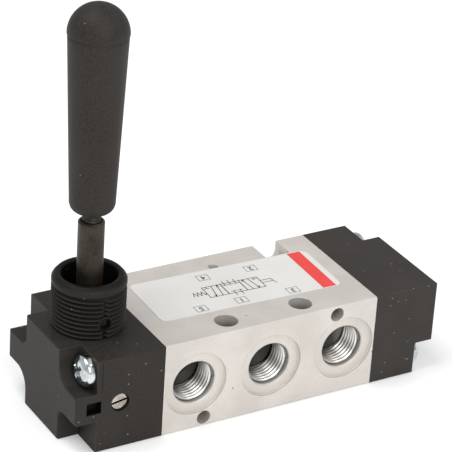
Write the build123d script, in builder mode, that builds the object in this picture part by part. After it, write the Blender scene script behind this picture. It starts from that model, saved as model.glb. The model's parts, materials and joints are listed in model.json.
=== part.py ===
# Hand lever operated 5/3 spool valve with G1/8 ports, in millimetres.
# The origin is the centre of the body's bottom face. X runs along the spool, from the lever
# head (-X) to the end cap (+X). The supply and exhaust ports face -Y, the outlets +Y. Z is up.
import os
from math import radians, sqrt

from build123d import *

# Valve body: an extruded aluminium block
body_length = 51.0
body_width = 31.0
body_height = 21.3
body_edge_rounding = 0.35
spool_height = body_height / 2

# G1/8 ports, left as smooth walls at the thread's major radius
port_pitch = 18.0
port_thread_radius = 4.86
port_thread_depth = 8.0
port_mouth_chamfer = 0.25
port_face_radius = 7.25
port_face_depth = 0.7
port_passage_radius = 2.9

# Fixing holes of the body
upright_hole_radius = 2.55
upright_hole_inset = 4.5
side_hole_radius = 1.6
side_hole_offset = 15.65
side_hole_inset = 2.0
side_slot_radius = 3.05
side_slot_depth = 6.1
plug_ball_radius = 1.15
plug_ball_inset = 5.1
plug_ball_sink = 0.35

# Screws that hold the lever head and the end cap
screw_radius = 1.75
screw_head_radius = 3.45
screw_head_height = 2.5
screw_grip = 5.8
screw_dome_height = 1.4
screw_tip_radius = 1.2
screw_tip_length = 0.9
screw_inset_y = 4.1
screw_inset_z = 3.8
fastener_clearance = 0.05

# Lever head: a block with a cross-shaped end, and the threaded collar on top
head_length = 20.2
head_block_length = 15.4
pocket_side_gap = 0.25
pocket_floor_gap = 0.15
head_edge_rounding = 0.3
inner_corner_radius = 2.0
pocket_clearance = 0.5
latch_window_width = 3.4
latch_window_height = 2.9
latch_window_depth = 2.0
latch_window_offset = 16.05
lever_offset = 10.0
collar_radius = 7.8
collar_bore_radius = 5.85
collar_height = 11.8
collar_rim_chamfer = 0.9
collar_lip_chamfer = 0.4
collar_spigot_radius = 7.0
collar_spigot_depth = 5.0

# Lever, grip and pivot
pivot_height = 3.4
pivot_radius = 1.0
pivot_press_clearance = 0.01
pivot_mouth_radius = 1.35
pivot_mouth_depth = 0.6
running_clearance = 0.05
lever_swing = 13.0
rod_radius = 2.75
rod_top = 45.1
rod_chamfer = 0.4
rod_recess_radius = 2.25
rod_recess_depth = 0.6
foot_radius = 2.2
foot_neck_radius = 1.1
foot_clearance = 0.06
stud_radius = 1.86
stud_depth = 6.0
stud_in_grip = 10.0
grip_gap = 1.2
grip_boss_height = 1.0
grip_boss_radius = 2.3
grip_length = 45.7
grip_low_radius = 4.65
grip_low_rounding = 1.76
grip_boss_chamfer = 0.2
grip_dome_radius = 6.25
insert_radius = 3.0
insert_length = 8.0
insert_depth = 2.1
edge_tolerance = 0.01

# Spool, seals and springs
bore_radius = 6.0
spool_radius = 3.2
spool_waist_radius = 2.0
spool_waist_chamfer = 0.4
seal_thickness = 2.0
seal_chamfer = 0.3
seal_count = 6
spacer_bore_radius = 4.6
spacer_window_radius = 1.5
spacer_windows = 6
stack_clearance = 0.03
tail_radius = 4.2
tail_wall = 1.74
tail_length = 9.0
tail_room = 0.4
shoulder_overhang = 0.8
guide_screw_radius = 1.75
guide_screw_sink = 0.6
guide_screw_slot = 0.5
guide_screw_slot_depth = 1.0
guide_screw_slot_turn = 10.0
guide_mouth_radius = 2.1
guide_mouth_depth = 1.0
guide_dog_radius = 0.95
guide_dog_length = 1.0
cap_length = 15.5
cap_plate_length = 11.1
cap_edge_rounding = 0.3
cap_cavity_radius = 5.2
washer_thickness = 0.8
seat_thickness = 1.6
seat_radius = 4.6
stub_radius = 2.5
end_screw_radius = 1.0
end_screw_head_radius = 2.2
end_screw_head_height = 1.3
end_screw_length = 5.0
spring_length = 5.4
spring_radius = 4.0
spring_wire_radius = 0.25
spring_turns = 3
face_ring_radius = 7.8
face_ring_wire_radius = 0.5
face_ring_squeeze = 0.1

# Label on the top face
label_length = 43.0
label_width = 16.6
label_thickness = 0.12
label_corner_radius = 1.5
label_offset_x = 0.3
label_turn = -1.8
label_offset_y = 1.2

# Places worked out from the sizes above
left_face = -body_length / 2
right_face = body_length / 2
front_face = -body_width / 2
back_face = body_width / 2
port_step = port_pitch / 2
front_ports = [-port_pitch, 0, port_pitch]
back_ports = [-port_step, port_step]
lever_x = left_face - lever_offset
pivot_z = body_height + pivot_height
lever_arm = pivot_z - spool_height
spool_stroke = lever_arm * radians(lever_swing)
tail_left = lever_x - foot_radius - foot_clearance - tail_wall
tail_right = tail_left + tail_length
tail_bore_radius = tail_radius + tail_room
tail_bore_depth = left_face - tail_left + spool_stroke + tail_room + tail_wall / 2
screw_y = body_width / 2 - screw_inset_y
screw_low = screw_inset_z
screw_high = body_height - screw_inset_z
head_screws = [(-screw_y, screw_high), (screw_y, screw_low)]
cap_screw_places = [(-screw_y, screw_low), (screw_y, screw_high)]
screw_hole_radius = screw_radius + fastener_clearance
pocket_radius = screw_head_radius + pocket_clearance
notch_width = screw_inset_y + screw_head_radius + pocket_side_gap
notch_height = screw_inset_z + screw_head_radius + pocket_floor_gap
head_spine_width = body_width - 2 * notch_width
head_ledge_height = body_height - 2 * notch_height
plug_ball_offset = back_face - plug_ball_inset
washer_face = right_face + washer_thickness
seat_left = washer_face + spring_length
seat_right = seat_left + seat_thickness
cap_floor = seat_right + spring_length
grip_bottom = rod_top + grip_gap
grip_top = grip_bottom + grip_length
dome_height = grip_top - grip_dome_radius
stud_hole_radius = stud_radius + fastener_clearance
guide_hole_radius = guide_screw_radius + fastener_clearance

spool_axis = Axis((0, 0, spool_height), (1, 0, 0))
lever_axis = Axis((lever_x, 0, 0), (0, 0, 1))
spool_plane = Plane(origin=(0, 0, spool_height), x_dir=(1, 0, 0), z_dir=(0, -1, 0))
lever_plane = Plane(origin=(lever_x, 0, 0), x_dir=(1, 0, 0), z_dir=(0, -1, 0))


def turned_about(axis, plane, outline):
    # A solid of revolution whose closed outline is drawn in the plane.
    with BuildPart(mode=Mode.PRIVATE) as piece:
        with BuildSketch(plane):
            with BuildLine():
                Polyline(*outline, close=True)
            make_face()
        revolve(axis=axis)
    return piece.part


def port_cutter(x, side):
    # Spot face, chamfered thread bore and the passage on to the spool bore.
    origin = (x, side * body_width / 2, spool_height)
    plane = Plane(origin=origin, x_dir=(0, side, 0), z_dir=(1, 0, 0))
    mouth = -port_face_depth
    bottom = -port_thread_depth
    inner = -(body_width / 2 - bore_radius / 2)
    cone = port_thread_radius - port_passage_radius
    outline = [
        (port_face_depth, 0),
        (port_face_depth, port_face_radius),
        (mouth, port_face_radius),
        (mouth, port_thread_radius + port_mouth_chamfer),
        (mouth - port_mouth_chamfer, port_thread_radius),
        (bottom, port_thread_radius),
        (bottom - cone / 2, port_passage_radius),
        (inner, port_passage_radius),
        (inner, 0),
    ]
    return turned_about(Axis(origin, (0, side, 0)), plane, outline)


def end_screw(face_x, y, z, side, plate):
    # Pan head screw along X: its head bears on the plate, its tip is in the body.
    origin = (face_x, y, z)
    plane = Plane(origin=origin, x_dir=(side, 0, 0), z_dir=(0, -side, 0))
    with BuildPart(mode=Mode.PRIVATE) as screw:
        with BuildSketch(plane):
            with BuildLine():
                crown = (plate + screw_head_height, 0)
                rim = (plate + screw_head_height - screw_dome_height, screw_head_radius)
                dome_radius = (screw_head_radius ** 2 + screw_dome_height ** 2) / (2 * screw_dome_height)
                Polyline(crown, (-screw_grip, 0), (-screw_grip, screw_tip_radius),
                         (-screw_grip + screw_tip_length, screw_radius), (plate, screw_radius),
                         (plate, screw_head_radius), rim)
                RadiusArc(rim, crown, dome_radius)
            make_face()
        revolve(axis=Axis(origin, (side, 0, 0)))
    return screw.part


def corner_section(plane, corners, inner_radius, other_radius):
    # Full end section, cut back at the named corners; corners is a list of (y side, z side).
    with BuildSketch(plane, mode=Mode.PRIVATE) as section:
        with Locations((0, body_height / 2)):
            Rectangle(body_width, body_height)
        for y_side, z_side in corners:
            y = y_side * (body_width - notch_width) / 2
            z = body_height / 2 + z_side * (body_height - notch_height) / 2
            with Locations((y, z)):
                Rectangle(notch_width, notch_height, mode=Mode.SUBTRACT)
        for y_side, z_side in corners:
            with_screw = (y_side, z_side) in (corners[0], corners[1])
            target = Vector(0, y_side * head_spine_width / 2,
                            body_height / 2 + z_side * head_ledge_height / 2)
            corner = section.vertices().sort_by_distance(plane.to_local_coords(target))[0]
            fillet(corner, inner_radius if with_screw else other_radius)
    return section.sketch


def face_ring(face_x, side):
    # O-ring that seals a plastic end against the body.
    with BuildPart(mode=Mode.PRIVATE) as ring:
        centre = face_x + side * (face_ring_wire_radius - face_ring_squeeze)
        with BuildSketch(spool_plane):
            with Locations((centre, face_ring_radius)):
                Circle(face_ring_wire_radius)
            with Locations((face_x - side * face_ring_wire_radius, face_ring_radius)):
                Rectangle(2 * face_ring_wire_radius, 4 * face_ring_wire_radius, mode=Mode.SUBTRACT)
        revolve(axis=spool_axis)
    return ring.part


def ring_groove(face_x, side):
    # Groove of an O-ring in the face of a plastic end.
    half = face_ring_wire_radius + fastener_clearance
    depth = 2 * face_ring_wire_radius
    inner = face_ring_radius - half
    outer = face_ring_radius + half
    outline = [(face_x - side * half, inner), (face_x - side * half, outer),
               (face_x + side * depth, outer), (face_x + side * depth, inner)]
    return turned_about(spool_axis, spool_plane, outline)


def coil_spring(start_x):
    # Round-wire compression spring along the spool axis.
    height = spring_length - 2 * spring_wire_radius - 2 * running_clearance
    begin = start_x + spring_wire_radius + running_clearance
    with BuildPart(mode=Mode.PRIVATE) as spring:
        with BuildLine() as coil:
            Helix(pitch=height / spring_turns, height=height, radius=spring_radius,
                  center=(begin, 0, spool_height), direction=(1, 0, 0))
        with BuildSketch(Plane(origin=coil.line @ 0, z_dir=coil.line % 0)):
            Circle(spring_wire_radius)
        sweep()
    return spring.part


# Valve body
with BuildPart() as valve_body:
    with BuildSketch(Plane.YZ.offset(left_face)):
        with Locations((0, body_height / 2)):
            Rectangle(body_width, body_height)
    extrude(amount=body_length)
    fillet(valve_body.edges().filter_by(Axis.X), body_edge_rounding)
    with BuildSketch(Plane.YZ.offset(left_face)):
        with Locations((0, spool_height)):
            Circle(bore_radius)
    extrude(amount=body_length, mode=Mode.SUBTRACT)
    for x in front_ports:
        add(port_cutter(x, -1), mode=Mode.SUBTRACT)
    for x in back_ports:
        add(port_cutter(x, 1), mode=Mode.SUBTRACT)
    with BuildSketch(Plane.XY):
        with Locations(*[(x, front_face + upright_hole_inset) for x in back_ports]):
            Circle(upright_hole_radius)
    extrude(amount=body_height, mode=Mode.SUBTRACT)
    # Two long side holes on a diagonal, each with an open slot for the screw head at the back
    for side in (-1, 1):
        x = side * side_hole_offset
        z = body_height / 2 + side * (body_height / 2 - side_hole_inset)
        with BuildSketch(Plane(origin=(0, back_face, 0), x_dir=(1, 0, 0), z_dir=(0, -1, 0))):
            with Locations((x, z)):
                Circle(side_hole_radius)
        extrude(amount=body_width, mode=Mode.SUBTRACT)
        with BuildSketch(Plane(origin=(0, back_face, 0), x_dir=(1, 0, 0), z_dir=(0, -1, 0))):
            with Locations((x, z)):
                Circle(side_slot_radius)
            with Locations((x, z + side * side_slot_radius / 2)):
                Rectangle(2 * side_slot_radius, side_slot_radius)
        extrude(amount=side_slot_depth, mode=Mode.SUBTRACT)
    # Tapped holes for the end screws
    for face_x, side, places in ((left_face, 1, head_screws), (right_face, -1, cap_screw_places)):
        with BuildSketch(Plane.YZ.offset(face_x)):
            with Locations(*places):
                Circle(screw_hole_radius)
        extrude(amount=side * (screw_grip + tail_room), mode=Mode.SUBTRACT)
    # Blind drilling that a pressed-in ball closes
    with BuildSketch(Plane.XY.offset(body_height)):
        with Locations((0, plug_ball_offset)):
            Circle(plug_ball_radius)
    extrude(amount=-(2 * plug_ball_radius + plug_ball_sink), mode=Mode.SUBTRACT)
valve_body.part.label = "valve_body"

# Steel ball in the drilling
with BuildPart() as ball_plug:
    with Locations((0, plug_ball_offset, body_height - plug_ball_sink - plug_ball_radius)):
        Sphere(plug_ball_radius - fastener_clearance)
ball_plug.part.label = "ball_plug"

# Label
with BuildPart() as label:
    with BuildSketch(Plane.XY.offset(body_height)):
        with Locations((label_offset_x, label_offset_y)):
            RectangleRounded(label_length, label_width, label_corner_radius, rotation=label_turn)
    extrude(amount=label_thickness)
label.part.label = "label"

# Lever housing
with BuildPart() as lever_housing:
    with BuildSketch(Plane.YZ.offset(left_face)):
        with Locations((0, body_height / 2)):
            Rectangle(body_width, body_height)
    extrude(amount=-head_block_length)
    section = corner_section(Plane.YZ.offset(left_face - head_block_length),
                             [(-1, 1), (1, -1), (-1, -1), (1, 1)], pocket_radius, inner_corner_radius)
    extrude(section, amount=-(head_length - head_block_length))
    end_edges = lever_housing.faces().sort_by(Axis.X)[0].edges()
    long_edges = lever_housing.edges().filter_by(Axis.X).group_by(Axis.X)[-1]
    fillet(end_edges + long_edges, head_edge_rounding)
    # Bore for the spool's tail, well for the lever, seat for the collar
    with BuildSketch(Plane.YZ.offset(left_face)):
        with Locations((0, spool_height)):
            Circle(tail_bore_radius)
    extrude(amount=-tail_bore_depth, mode=Mode.SUBTRACT)
    with BuildSketch(Plane.XY.offset(body_height)):
        with Locations((lever_x, 0)):
            Circle(collar_bore_radius)
    extrude(amount=-(body_height - spool_height - foot_radius), mode=Mode.SUBTRACT)
    with BuildSketch(Plane.XY.offset(body_height)):
        with Locations((lever_x, 0)):
            Circle(collar_spigot_radius)
    extrude(amount=-collar_spigot_depth, mode=Mode.SUBTRACT)
    with BuildSketch(Plane.YZ.offset(left_face)):
        with Locations(*head_screws):
            Circle(screw_hole_radius)
    extrude(amount=-head_block_length, mode=Mode.SUBTRACT)
    # Guide screw hole and the latch windows
    front_plane = Plane(origin=(0, front_face, 0), x_dir=(1, 0, 0), z_dir=(0, -1, 0))
    with BuildSketch(front_plane):
        with Locations((lever_x, spool_height)):
            Circle(guide_hole_radius)
    extrude(amount=-body_width / 2, mode=Mode.SUBTRACT)
    with BuildSketch(front_plane):
        with Locations((lever_x, spool_height)):
            Circle(guide_mouth_radius)
    extrude(amount=-guide_mouth_depth, mode=Mode.SUBTRACT)
    for side in (-1, 1):
        wall = Plane(origin=(0, side * body_width / 2, 0), x_dir=(1, 0, 0), z_dir=(0, -1, 0))
        with BuildSketch(wall):
            with Locations((left_face - latch_window_offset, spool_height)):
                Rectangle(latch_window_width, latch_window_height)
        extrude(amount=side * latch_window_depth, mode=Mode.SUBTRACT)
    add(ring_groove(left_face, -1), mode=Mode.SUBTRACT)
lever_housing.part.label = "lever_housing"

# Threaded collar that carries the pivot pin
collar_top = body_height + collar_height
with BuildPart() as threaded_collar:
    with BuildSketch(lever_plane):
        with BuildLine():
            Polyline(
                (collar_bore_radius, body_height - collar_spigot_depth),
                (collar_spigot_radius - fastener_clearance, body_height - collar_spigot_depth),
                (collar_spigot_radius - fastener_clearance, body_height),
                (collar_radius, body_height),
                (collar_radius, collar_top - collar_rim_chamfer),
                (collar_radius - collar_rim_chamfer, collar_top),
                (collar_bore_radius + collar_lip_chamfer, collar_top),
                (collar_bore_radius, collar_top - collar_lip_chamfer),
                close=True,
            )
        make_face()
    revolve(axis=lever_axis)
    with BuildSketch(Plane.XZ):
        with Locations((lever_x, pivot_z)):
            Circle(pivot_radius)
    extrude(amount=collar_radius, both=True, mode=Mode.SUBTRACT)
    for side in (-1, 1):
        with BuildSketch(Plane.XZ.offset(side * collar_radius)):
            with Locations((lever_x, pivot_z)):
                Circle(pivot_mouth_radius)
        extrude(amount=-side * pivot_mouth_depth, mode=Mode.SUBTRACT)
threaded_collar.part.label = "threaded_collar"

# Pivot pin
with BuildPart() as pivot_pin:
    with BuildSketch(Plane.XZ):
        with Locations((lever_x, pivot_z)):
            Circle(pivot_radius - pivot_press_clearance)
    extrude(amount=collar_radius - 2 * pivot_mouth_depth, both=True)
pivot_pin.part.label = "pivot_pin"

# Lever rod with its turned foot
foot_top = spool_height + sqrt(foot_radius ** 2 - foot_neck_radius ** 2)
rod_bottom = spool_height + tail_radius + foot_neck_radius
recess_floor = rod_top - rod_recess_depth
stud_floor = rod_top - stud_depth
with BuildPart() as lever_rod:
    with BuildSketch(lever_plane):
        with BuildLine():
            low = (0, spool_height - foot_radius)
            neck = (foot_neck_radius, foot_top)
            ThreePointArc(low, (foot_radius, spool_height), neck)
            Polyline(
                neck,
                (foot_neck_radius, rod_bottom),
                (rod_radius - rod_chamfer, rod_bottom),
                (rod_radius, rod_bottom + rod_chamfer),
                (rod_radius, rod_top - rod_chamfer),
                (rod_radius - rod_chamfer, rod_top),
                (rod_recess_radius, rod_top),
                (stud_hole_radius, recess_floor),
                (stud_hole_radius, stud_floor),
                (0, stud_floor),
                low,
            )
        make_face()
    revolve(axis=lever_axis)
    with BuildSketch(Plane.XZ):
        with Locations((lever_x, pivot_z)):
            Circle(pivot_radius + running_clearance)
    extrude(amount=rod_radius, both=True, mode=Mode.SUBTRACT)
lever_rod.part.label = "lever_rod"

# Threaded stud between the rod and the grip
stud_low = stud_floor + fastener_clearance
stud_high = grip_bottom + stud_in_grip
with BuildPart() as lever_stud:
    add(turned_about(lever_axis, lever_plane, [
        (0, stud_low),
        (stud_radius - rod_chamfer, stud_low),
        (stud_radius, stud_low + rod_chamfer),
        (stud_radius, stud_high - rod_chamfer),
        (stud_radius - rod_chamfer, stud_high),
        (0, stud_high),
    ]))
lever_stud.part.label = "lever_stud"

# Grip: tapered moulding with a domed end, and its brass insert
insert_low = grip_bottom + insert_depth
insert_high = insert_low + insert_length
stud_room = stud_high + rod_chamfer
grip_base = grip_bottom + grip_boss_height
with BuildPart() as grip:
    with BuildSketch(lever_plane):
        with BuildLine():
            Polyline(
                (0, grip_top),
                (0, stud_room),
                (stud_hole_radius, stud_room),
                (stud_hole_radius, insert_high),
                (insert_radius, insert_high),
                (insert_radius, insert_low),
                (stud_hole_radius, insert_low),
                (stud_hole_radius, grip_bottom),
                (grip_boss_radius - grip_boss_chamfer, grip_bottom),
                (grip_boss_radius, grip_base),
                (grip_low_radius, grip_base),
                (grip_dome_radius, dome_height),
            )
            RadiusArc((grip_dome_radius, dome_height), (0, grip_top), -grip_dome_radius)
        make_face()
    revolve(axis=lever_axis)
    low_rim = grip.edges().filter_by(GeomType.CIRCLE).filter_by(
        lambda edge: abs(edge.radius - grip_low_radius) < edge_tolerance)
    fillet(low_rim, grip_low_rounding)
grip.part.label = "grip"

with BuildPart() as grip_insert:
    add(turned_about(lever_axis, lever_plane, [
        (stud_hole_radius, insert_low + fastener_clearance),
        (insert_radius - fastener_clearance, insert_low + fastener_clearance),
        (insert_radius - fastener_clearance, insert_high - fastener_clearance),
        (stud_hole_radius, insert_high - fastener_clearance),
    ]))
grip_insert.part.label = "grip_insert"

# Spool: sealing lands, two waists, the slotted tail and the stub for the spring seat
waist_half = (port_step - seal_thickness) / 2
shoulder = washer_face + shoulder_overhang
with BuildPart() as spool:
    outline = [(tail_left, 0), (tail_left, tail_radius - tail_room), (tail_left + tail_room, tail_radius),
               (tail_right, tail_radius), (tail_right, spool_radius)]
    for x in back_ports:
        outline += [
            (x - waist_half, spool_radius),
            (x - waist_half + spool_waist_chamfer, spool_waist_radius),
            (x + waist_half - spool_waist_chamfer, spool_waist_radius),
            (x + waist_half, spool_radius),
        ]
    outline += [(shoulder, spool_radius), (shoulder, stub_radius),
                (seat_right, stub_radius), (seat_right, 0)]
    add(turned_about(spool_axis, spool_plane, outline))
    # Pocket for the lever's foot, open at the top
    foot_room = foot_radius + foot_clearance
    with BuildSketch(Plane.XY.offset(spool_height - foot_room)):
        with Locations((lever_x, 0)):
            Rectangle(2 * foot_room, 2 * (foot_room + foot_clearance))
    extrude(amount=foot_room + tail_radius, mode=Mode.SUBTRACT)
    # Groove in which the guide screw's point runs
    groove_length = 2 * (spool_stroke + guide_dog_radius + tail_room)
    groove_floor = -(tail_bore_radius - guide_dog_length - fastener_clearance)
    with BuildSketch(Plane(origin=(0, -tail_bore_radius, 0), x_dir=(1, 0, 0), z_dir=(0, -1, 0))):
        with Locations((lever_x, spool_height)):
            Rectangle(groove_length, 2 * (guide_dog_radius + running_clearance))
    extrude(amount=-(tail_bore_radius + groove_floor), mode=Mode.SUBTRACT)
    with BuildSketch(Plane.YZ.offset(seat_right)):
        with Locations((0, spool_height)):
            Circle(end_screw_radius + fastener_clearance)
    extrude(amount=-(end_screw_length + tail_room), mode=Mode.SUBTRACT)
spool.part.label = "spool"

# Guide screw with a slotted end
guide_outer = front_face + guide_screw_sink
with BuildPart() as guide_screw:
    guide_origin = (lever_x, 0, spool_height)
    guide_plane = Plane(origin=guide_origin, x_dir=(0, 1, 0), z_dir=(1, 0, 0))
    add(turned_about(Axis(guide_origin, (0, 1, 0)), guide_plane, [
        (guide_outer, 0),
        (guide_outer, guide_screw_radius),
        (-tail_bore_radius, guide_screw_radius),
        (-tail_bore_radius, guide_dog_radius),
        (-tail_bore_radius + guide_dog_length, guide_dog_radius),
        (-tail_bore_radius + guide_dog_length, 0),
    ]))
    with BuildSketch(Plane(origin=(lever_x, guide_outer, spool_height), x_dir=(1, 0, 0), z_dir=(0, -1, 0))):
        Rectangle(3 * guide_screw_radius, guide_screw_slot, rotation=guide_screw_slot_turn)
    extrude(amount=-guide_screw_slot_depth, mode=Mode.SUBTRACT)
guide_screw.part.label = "guide_screw"

# End cap
with BuildPart() as end_cap:
    with BuildSketch(Plane.YZ.offset(right_face)):
        with Locations((0, body_height / 2)):
            Rectangle(body_width, body_height)
    extrude(amount=cap_plate_length)
    section = corner_section(Plane.YZ.offset(right_face + cap_plate_length), [(-1, -1), (1, 1)],
                             pocket_radius, inner_corner_radius)
    extrude(section, amount=cap_length - cap_plate_length)
    outer_edges = end_cap.faces().sort_by(Axis.X)[-1].edges()
    long_edges = end_cap.edges().filter_by(Axis.X).group_by(Axis.X)[0]
    fillet(outer_edges + long_edges, cap_edge_rounding)
    with BuildSketch(Plane.YZ.offset(right_face)):
        with Locations((0, spool_height)):
            Circle(cap_cavity_radius)
    extrude(amount=cap_floor - right_face, mode=Mode.SUBTRACT)
    with BuildSketch(Plane.YZ.offset(right_face)):
        with Locations(*cap_screw_places):
            Circle(screw_hole_radius)
    extrude(amount=cap_plate_length, mode=Mode.SUBTRACT)
    add(ring_groove(right_face, 1), mode=Mode.SUBTRACT)
end_cap.part.label = "end_cap"

# Screws of the lever housing and of the end cap
with BuildPart() as housing_screws:
    for y, z in head_screws:
        add(end_screw(left_face, y, z, -1, head_block_length))
housing_screws.part.label = "housing_screws"

with BuildPart() as cap_screws:
    for y, z in cap_screw_places:
        add(end_screw(right_face, y, z, 1, cap_plate_length))
cap_screws.part.label = "cap_screws"

# O-rings under the housing and the cap
with BuildPart() as housing_o_ring:
    add(face_ring(left_face, -1))
housing_o_ring.part.label = "housing_o_ring"

with BuildPart() as cap_o_ring:
    add(face_ring(right_face, 1))
cap_o_ring.part.label = "cap_o_ring"

# Seals, spacers and guide bushes stacked in the bore
stack_radius = bore_radius - stack_clearance
seal_half = seal_thickness / 2 - stack_clearance
seal_inner = spool_radius + running_clearance
seal_places = [(index - (seal_count - 1) / 2) * port_step for index in range(seal_count)]
with BuildPart() as spool_seals:
    for x in seal_places:
        add(turned_about(spool_axis, spool_plane, [
            (x - seal_half, seal_inner + seal_chamfer),
            (x - seal_half, stack_radius - seal_chamfer),
            (x - seal_half + seal_chamfer, stack_radius),
            (x + seal_half - seal_chamfer, stack_radius),
            (x + seal_half, stack_radius - seal_chamfer),
            (x + seal_half, seal_inner + seal_chamfer),
            (x + seal_half - seal_chamfer, seal_inner),
            (x - seal_half + seal_chamfer, seal_inner),
        ]))
spool_seals.part.label = "spool_seals"

spacer_half = (port_step - seal_thickness) / 2
with BuildPart() as seal_spacers:
    for x in front_ports + back_ports:
        add(turned_about(spool_axis, spool_plane, [
            (x - spacer_half, spacer_bore_radius),
            (x - spacer_half, stack_radius),
            (x + spacer_half, stack_radius),
            (x + spacer_half, spacer_bore_radius),
        ]))
        for index in range(spacer_windows // 2):
            turn = index * 360 / spacer_windows
            with BuildSketch(Plane(spool_plane.origin + Vector(x, 0, 0), x_dir=(1, 0, 0),
                                   z_dir=Vector(0, -1, 0).rotate(Axis.X, turn))):
                Circle(spacer_window_radius)
            extrude(amount=bore_radius, both=True, mode=Mode.SUBTRACT)
seal_spacers.part.label = "seal_spacers"

bush_length = body_length / 2 - seal_places[-1] - seal_thickness / 2
with BuildPart() as guide_bushes:
    for side in (-1, 1):
        inner = side * (body_length / 2 - bush_length)
        outer = side * body_length / 2
        add(turned_about(spool_axis, spool_plane, [
            (inner, spool_radius + running_clearance),
            (inner, stack_radius),
            (outer, stack_radius),
            (outer, spool_radius + running_clearance),
        ]))
guide_bushes.part.label = "guide_bushes"

# Centring springs, their fixed washer, the moving seat and its screw
with BuildPart() as spring_washer:
    add(turned_about(spool_axis, spool_plane, [
        (right_face, spool_radius + 2 * running_clearance),
        (right_face, cap_cavity_radius - fastener_clearance),
        (washer_face, cap_cavity_radius - fastener_clearance),
        (washer_face, spool_radius + 2 * running_clearance),
    ]))
spring_washer.part.label = "spring_washer"

with BuildPart() as inner_spring:
    add(coil_spring(washer_face))
inner_spring.part.label = "inner_spring"

with BuildPart() as outer_spring:
    add(coil_spring(seat_right))
outer_spring.part.label = "outer_spring"

with BuildPart() as spring_seat:
    add(turned_about(spool_axis, spool_plane, [
        (seat_left, stub_radius + fastener_clearance),
        (seat_left, seat_radius),
        (seat_right, seat_radius),
        (seat_right, stub_radius + fastener_clearance),
    ]))
spring_seat.part.label = "spring_seat"

head_end = seat_right + end_screw_head_height
with BuildPart() as spool_end_screw:
    add(turned_about(spool_axis, spool_plane, [
        (seat_right - end_screw_length, 0),
        (seat_right - end_screw_length, end_screw_radius),
        (seat_right, end_screw_radius),
        (seat_right, end_screw_head_radius),
        (head_end - spool_waist_chamfer, end_screw_head_radius),
        (head_end, end_screw_head_radius - spool_waist_chamfer),
        (head_end, 0),
    ]))
spool_end_screw.part.label = "spool_end_screw"

pieces = [
    valve_body, ball_plug, label, lever_housing, threaded_collar, pivot_pin, lever_rod, lever_stud,
    grip, grip_insert, spool, guide_screw, end_cap, housing_screws, cap_screws, housing_o_ring,
    cap_o_ring, spool_seals, seal_spacers, guide_bushes, spring_washer, inner_spring, outer_spring,
    spring_seat, spool_end_screw,
]
os.makedirs("parts", exist_ok=True)
for piece in pieces:
    export_step(piece.part, f"parts/{piece.part.label}.step")
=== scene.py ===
import json
import math

import bmesh
import bpy
from mathutils import Matrix, Vector


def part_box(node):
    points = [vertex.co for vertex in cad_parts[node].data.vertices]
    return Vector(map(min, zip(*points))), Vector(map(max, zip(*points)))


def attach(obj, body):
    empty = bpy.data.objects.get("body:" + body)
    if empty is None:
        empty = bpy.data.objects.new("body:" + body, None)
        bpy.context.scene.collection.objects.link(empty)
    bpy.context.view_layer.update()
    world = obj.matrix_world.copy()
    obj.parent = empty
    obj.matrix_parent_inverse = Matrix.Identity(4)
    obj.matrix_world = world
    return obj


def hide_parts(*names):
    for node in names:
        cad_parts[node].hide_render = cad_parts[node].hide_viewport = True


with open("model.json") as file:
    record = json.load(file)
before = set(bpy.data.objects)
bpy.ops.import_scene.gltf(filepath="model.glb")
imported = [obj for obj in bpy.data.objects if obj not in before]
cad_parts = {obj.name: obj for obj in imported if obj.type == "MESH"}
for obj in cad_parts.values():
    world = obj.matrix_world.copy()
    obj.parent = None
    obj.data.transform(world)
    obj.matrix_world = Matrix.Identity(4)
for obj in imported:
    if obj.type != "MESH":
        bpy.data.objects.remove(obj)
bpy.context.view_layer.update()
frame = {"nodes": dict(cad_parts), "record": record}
nodes = frame["nodes"]
mounts = {mount["name"]: mount for mount in frame["record"]["mounts"]}
mm = 0.001
print("frame loaded:", len(nodes), "nodes")

bodyLow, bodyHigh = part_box("valve_body")
collarLow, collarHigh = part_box("threaded_collar")
gripLow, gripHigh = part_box("grip")
pinLow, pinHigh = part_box("pivot_pin")
labelLow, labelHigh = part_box("label")
leverX = (gripLow.x + gripHigh.x) / 2
spoolLow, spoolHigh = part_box("spool")
spoolZ = (spoolLow.z + spoolHigh.z) / 2
collarRadius = (collarHigh.x - collarLow.x) / 2
collarRoot = collarRadius - 0.6 * mm
pivotZ = (pinLow.z + pinHigh.z) / 2


# Small helpers for node trees
def addNode(tree, kind, inputs=None, **settings):
    node = tree.nodes.new(kind)
    for name, value in settings.items():
        setattr(node, name, value)
    for name, value in (inputs or {}).items():
        if isinstance(value, bpy.types.NodeSocket):
            tree.links.new(value, node.inputs[name])
        else:
            node.inputs[name].default_value = value
    return node


def calc(tree, operation, *values, clamp=False):
    inputs = dict(enumerate(values))
    return addNode(tree, "ShaderNodeMath", inputs, operation=operation, use_clamp=clamp).outputs[0]


def remap(tree, value, low, high, newLow=0.0, newHigh=1.0):
    inputs = {"Value": value, "From Min": low, "From Max": high, "To Min": newLow, "To Max": newHigh}
    return addNode(tree, "ShaderNodeMapRange", inputs).outputs["Result"]


def splitVector(tree, kind, output):
    # X, Y and Z of the vector that a node of this kind gives
    vector = addNode(tree, kind).outputs[output]
    return addNode(tree, "ShaderNodeSeparateXYZ", {0: vector}).outputs


def newGroup(name, kind, inputs, outputs):
    tree = bpy.data.node_groups.new(name, kind)
    for direction, sockets in (("INPUT", inputs), ("OUTPUT", outputs)):
        for label, socketKind, start in sockets:
            socket = tree.interface.new_socket(label, in_out=direction, socket_type=socketKind)
            if start is not None:
                socket.default_value = start
    return tree, tree.nodes.new("NodeGroupInput"), tree.nodes.new("NodeGroupOutput")


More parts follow.
